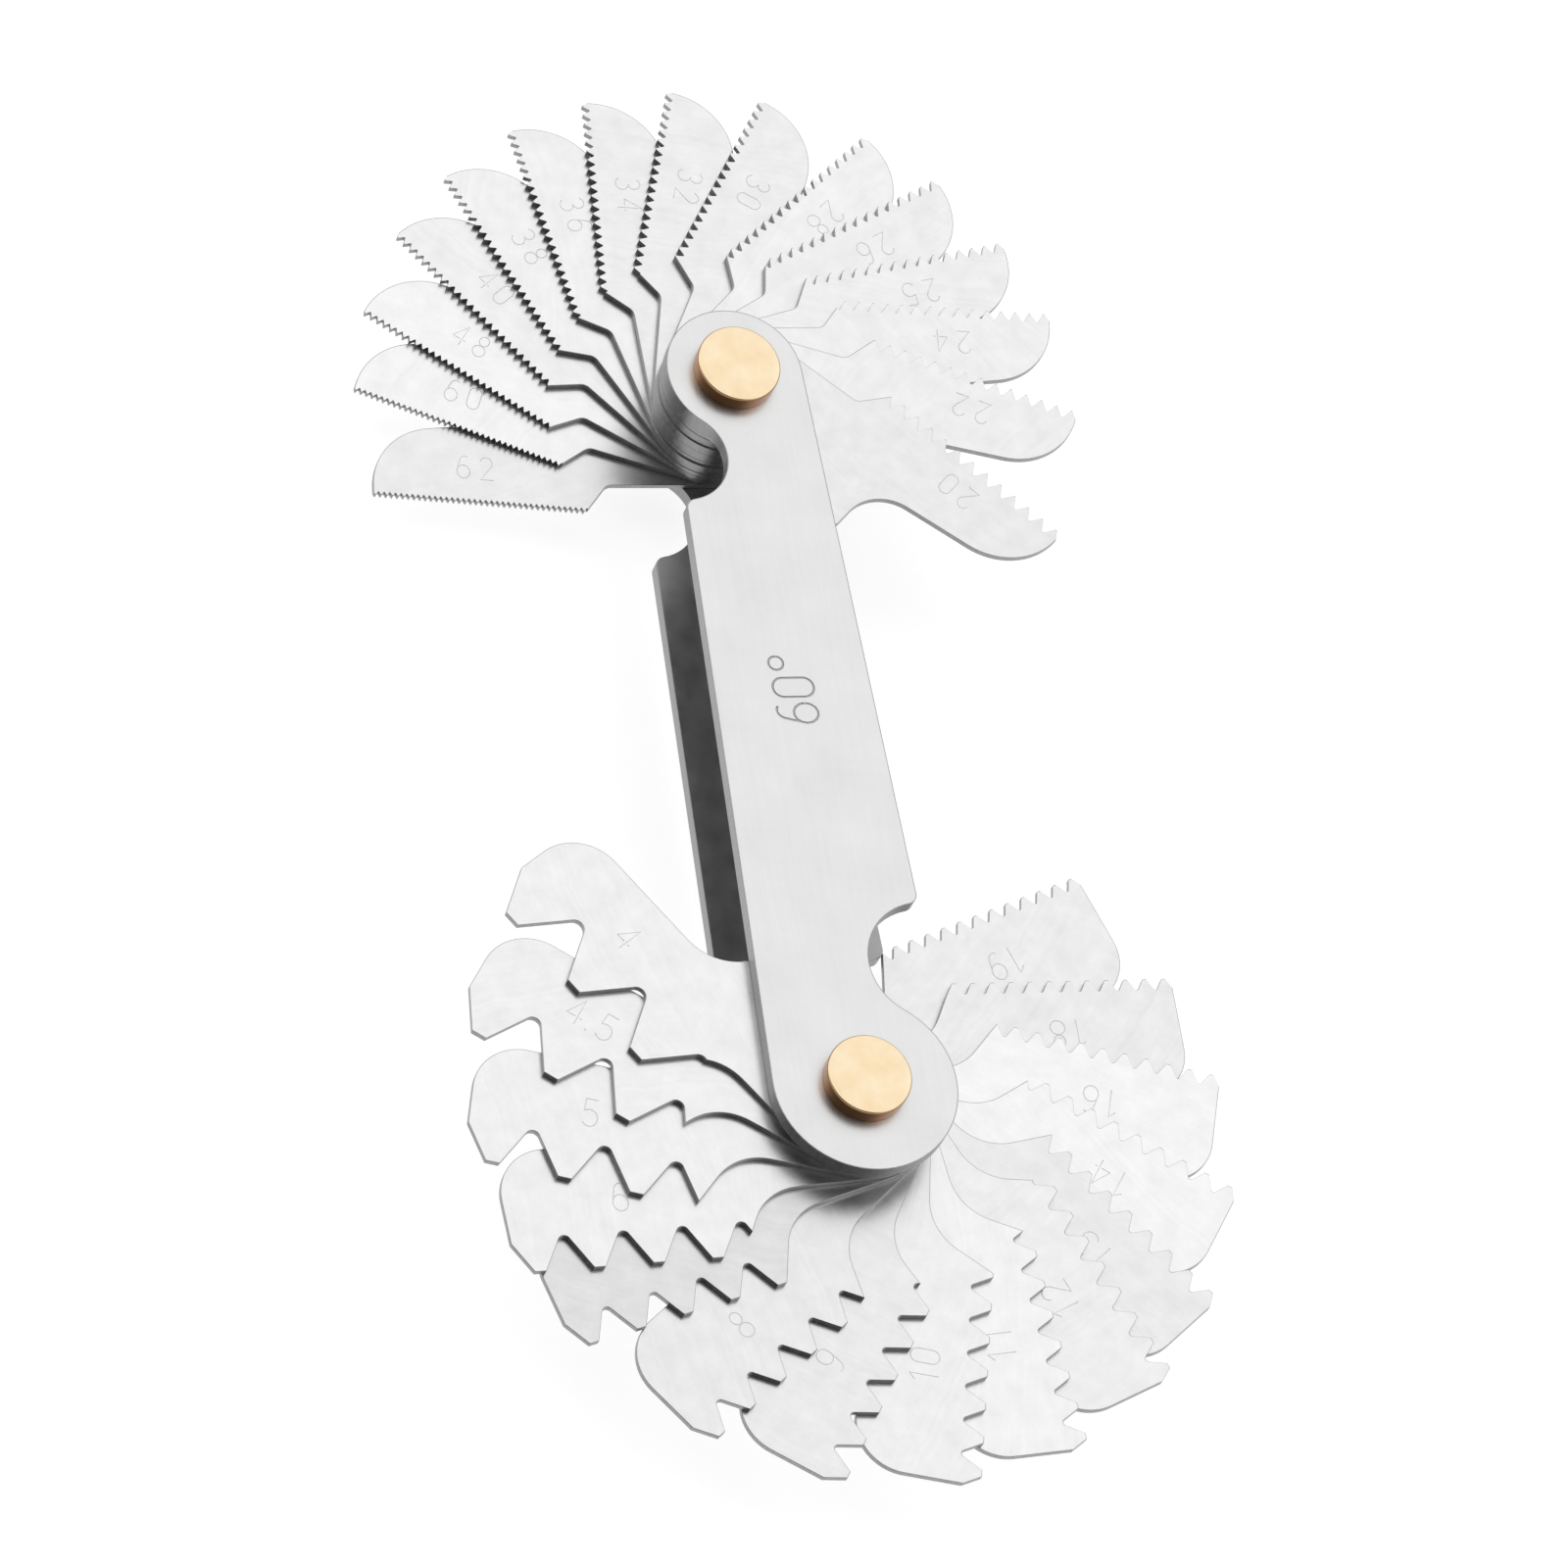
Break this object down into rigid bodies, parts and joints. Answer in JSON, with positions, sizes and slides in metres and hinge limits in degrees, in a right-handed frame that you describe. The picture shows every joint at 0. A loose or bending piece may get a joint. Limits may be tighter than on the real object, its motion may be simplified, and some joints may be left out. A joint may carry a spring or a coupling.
{
  "type": "screw thread pitch gauge",
  "caption": "Double-ended pocket gauge: thin toothed steel leaves fan out from brass rivets at both ends of a flat tapered steel handle, for matching screw thread pitch.",
  "frame": {"origin": "on the fine rivet's axis, in the plane of the back rivet heads' faces, which the gauge rests on", "axes": "+Z along the rivets from the back cover to the front cover, +Y along the handle from the coarse rivet to the fine rivet, +X to the right seen from the front"},
  "size_m": [0.0564, 0.1098, 0.012],
  "materials": {
    "leaf_steel": "bright satin stainless steel sheet, lightly ground, engraved marks",
    "cover_steel": "satin steel plate brushed lengthwise",
    "rivet_brass": "polished pale brass"
  },
  "bodies": {
    "handle": {"front_cover": "cover_steel", "back_cover": "cover_steel", "fine_rivet": "rivet_brass", "coarse_rivet": "rivet_brass"},
    "leaf_62": {"leaf_62_tpi": "leaf_steel"},
    "leaf_60": {"leaf_60_tpi": "leaf_steel"},
    "leaf_48": {"leaf_48_tpi": "leaf_steel"},
    "leaf_40": {"leaf_40_tpi": "leaf_steel"},
    "leaf_38": {"leaf_38_tpi": "leaf_steel"},
    "leaf_36": {"leaf_36_tpi": "leaf_steel"},
    "leaf_34": {"leaf_34_tpi": "leaf_steel"},
    "leaf_32": {"leaf_32_tpi": "leaf_steel"},
    "leaf_30": {"leaf_30_tpi": "leaf_steel"},
    "leaf_28": {"leaf_28_tpi": "leaf_steel"},
    "leaf_26": {"leaf_26_tpi": "leaf_steel"},
    "leaf_25": {"leaf_25_tpi": "leaf_steel"},
    "leaf_24": {"leaf_24_tpi": "leaf_steel"},
    "leaf_22": {"leaf_22_tpi": "leaf_steel"},
    "leaf_20": {"leaf_20_tpi": "leaf_steel"},
    "leaf_19": {"leaf_19_tpi": "leaf_steel"},
    "leaf_18": {"leaf_18_tpi": "leaf_steel"},
    "leaf_16": {"leaf_16_tpi": "leaf_steel"},
    "leaf_14": {"leaf_14_tpi": "leaf_steel"},
    "leaf_13": {"leaf_13_tpi": "leaf_steel"},
    "leaf_12": {"leaf_12_tpi": "leaf_steel"},
    "leaf_11": {"leaf_11_tpi": "leaf_steel"},
    "leaf_10": {"leaf_10_tpi": "leaf_steel"},
    "leaf_9": {"leaf_9_tpi": "leaf_steel"},
    "leaf_8": {"leaf_8_tpi": "leaf_steel"},
    "leaf_7": {"leaf_7_tpi": "leaf_steel"},
    "leaf_6": {"leaf_6_tpi": "leaf_steel"},
    "leaf_5": {"leaf_5_tpi": "leaf_steel"},
    "leaf_4_5": {"leaf_4_5_tpi": "leaf_steel"},
    "leaf_4": {"leaf_4_tpi": "leaf_steel"}
  },
  "joints": [
    {"name": "leaf_62_hinge", "type": "hinge", "parent": "handle", "child": "leaf_62", "pos_m": [0, 0, 0.00264], "axis": [0, 0, 1], "range_deg": [-120.2, 79.8]},
    {"name": "leaf_60_hinge", "type": "hinge", "parent": "handle", "child": "leaf_60", "pos_m": [0, 0, 0.00312], "axis": [0, 0, 1], "range_deg": [-101.9, 98.1]},
    {"name": "leaf_48_hinge", "type": "hinge", "parent": "handle", "child": "leaf_48", "pos_m": [0, 0, 0.0036], "axis": [0, 0, 1], "range_deg": [-88.2, 111.8]},
    {"name": "leaf_40_hinge", "type": "hinge", "parent": "handle", "child": "leaf_40", "pos_m": [0, 0, 0.00409], "axis": [0, 0, 1], "range_deg": [-73.1, 126.9]},
    {"name": "leaf_38_hinge", "type": "hinge", "parent": "handle", "child": "leaf_38", "pos_m": [0, 0, 0.00457], "axis": [0, 0, 1], "range_deg": [-59.6, 140.4]},
    {"name": "leaf_36_hinge", "type": "hinge", "parent": "handle", "child": "leaf_36", "pos_m": [0, 0, 0.00505], "axis": [0, 0, 1], "range_deg": [-45.6, 154.4]},
    {"name": "leaf_34_hinge", "type": "hinge", "parent": "handle", "child": "leaf_34", "pos_m": [0, 0, 0.00554], "axis": [0, 0, 1], "range_deg": [-31.9, 168.1]},
    {"name": "leaf_32_hinge", "type": "hinge", "parent": "handle", "child": "leaf_32", "pos_m": [0, 0, 0.00602], "axis": [0, 0, -1], "range_deg": [-22.3, 177.7]},
    {"name": "leaf_30_hinge", "type": "hinge", "parent": "handle", "child": "leaf_30", "pos_m": [0, 0, 0.0065], "axis": [0, 0, -1], "range_deg": [-37.4, 162.6]},
    {"name": "leaf_28_hinge", "type": "hinge", "parent": "handle", "child": "leaf_28", "pos_m": [0, 0, 0.00698], "axis": [0, 0, -1], "range_deg": [-55, 145]},
    {"name": "leaf_26_hinge", "type": "hinge", "parent": "handle", "child": "leaf_26", "pos_m": [0, 0, 0.00747], "axis": [0, 0, -1], "range_deg": [-68.5, 131.5]},
    {"name": "leaf_25_hinge", "type": "hinge", "parent": "handle", "child": "leaf_25", "pos_m": [0, 0, 0.00795], "axis": [0, 0, -1], "range_deg": [-83.6, 116.4]},
    {"name": "leaf_24_hinge", "type": "hinge", "parent": "handle", "child": "leaf_24", "pos_m": [0, 0, 0.00843], "axis": [0, 0, -1], "range_deg": [-98.4, 101.6]},
    {"name": "leaf_22_hinge", "type": "hinge", "parent": "handle", "child": "leaf_22", "pos_m": [0, 0, 0.00892], "axis": [0, 0, -1], "range_deg": [-117.1, 82.9]},
    {"name": "leaf_20_hinge", "type": "hinge", "parent": "handle", "child": "leaf_20", "pos_m": [0, 0, 0.0094], "axis": [0, 0, -1], "range_deg": [-140.8, 59.2]},
    {"name": "leaf_19_hinge", "type": "hinge", "parent": "handle", "child": "leaf_19", "pos_m": [0, -0.0559, 0.00264], "axis": [0, 0, 1], "range_deg": [-149.8, 50.2]},
    {"name": "leaf_18_hinge", "type": "hinge", "parent": "handle", "child": "leaf_18", "pos_m": [0, -0.0559, 0.00312], "axis": [0, 0, 1], "range_deg": [-129.9, 70.1]},
    {"name": "leaf_16_hinge", "type": "hinge", "parent": "handle", "child": "leaf_16", "pos_m": [0, -0.0559, 0.0036], "axis": [0, 0, 1], "range_deg": [-113.5, 86.5]},
    {"name": "leaf_14_hinge", "type": "hinge", "parent": "handle", "child": "leaf_14", "pos_m": [0, -0.0559, 0.00409], "axis": [0, 0, 1], "range_deg": [-95.3, 104.7]},
    {"name": "leaf_13_hinge", "type": "hinge", "parent": "handle", "child": "leaf_13", "pos_m": [0, -0.0559, 0.00457], "axis": [0, 0, 1], "range_deg": [-77.4, 122.6]},
    {"name": "leaf_12_hinge", "type": "hinge", "parent": "handle", "child": "leaf_12", "pos_m": [0, -0.0559, 0.00505], "axis": [0, 0, 1], "range_deg": [-62.7, 137.3]},
    {"name": "leaf_11_hinge", "type": "hinge", "parent": "handle", "child": "leaf_11", "pos_m": [0, -0.0559, 0.00554], "axis": [0, 0, 1], "range_deg": [-44.5, 155.5]},
    {"name": "leaf_10_hinge", "type": "hinge", "parent": "handle", "child": "leaf_10", "pos_m": [0, -0.0559, 0.00602], "axis": [0, 0, 1], "range_deg": [-26.8, 173.2]},
    {"name": "leaf_9_hinge", "type": "hinge", "parent": "handle", "child": "leaf_9", "pos_m": [0, -0.0559, 0.0065], "axis": [0, 0, -1], "range_deg": [-33.2, 166.8]},
    {"name": "leaf_8_hinge", "type": "hinge", "parent": "handle", "child": "leaf_8", "pos_m": [0, -0.0559, 0.00698], "axis": [0, 0, -1], "range_deg": [-52.3, 147.7]},
    {"name": "leaf_7_hinge", "type": "hinge", "parent": "handle", "child": "leaf_7", "pos_m": [0, -0.0559, 0.00747], "axis": [0, 0, -1], "range_deg": [-74.5, 125.5]},
    {"name": "leaf_6_hinge", "type": "hinge", "parent": "handle", "child": "leaf_6", "pos_m": [0, -0.0559, 0.00795], "axis": [0, 0, -1], "range_deg": [-87.3, 112.7]},
    {"name": "leaf_5_hinge", "type": "hinge", "parent": "handle", "child": "leaf_5", "pos_m": [0, -0.0559, 0.00843], "axis": [0, 0, -1], "range_deg": [-105.3, 94.7]},
    {"name": "leaf_4_5_hinge", "type": "hinge", "parent": "handle", "child": "leaf_4_5", "pos_m": [0, -0.0559, 0.00892], "axis": [0, 0, -1], "range_deg": [-125.6, 74.4]},
    {"name": "leaf_4_hinge", "type": "hinge", "parent": "handle", "child": "leaf_4", "pos_m": [0, -0.0559, 0.0094], "axis": [0, 0, -1], "range_deg": [-145.7, 54.3]}
  ]
}
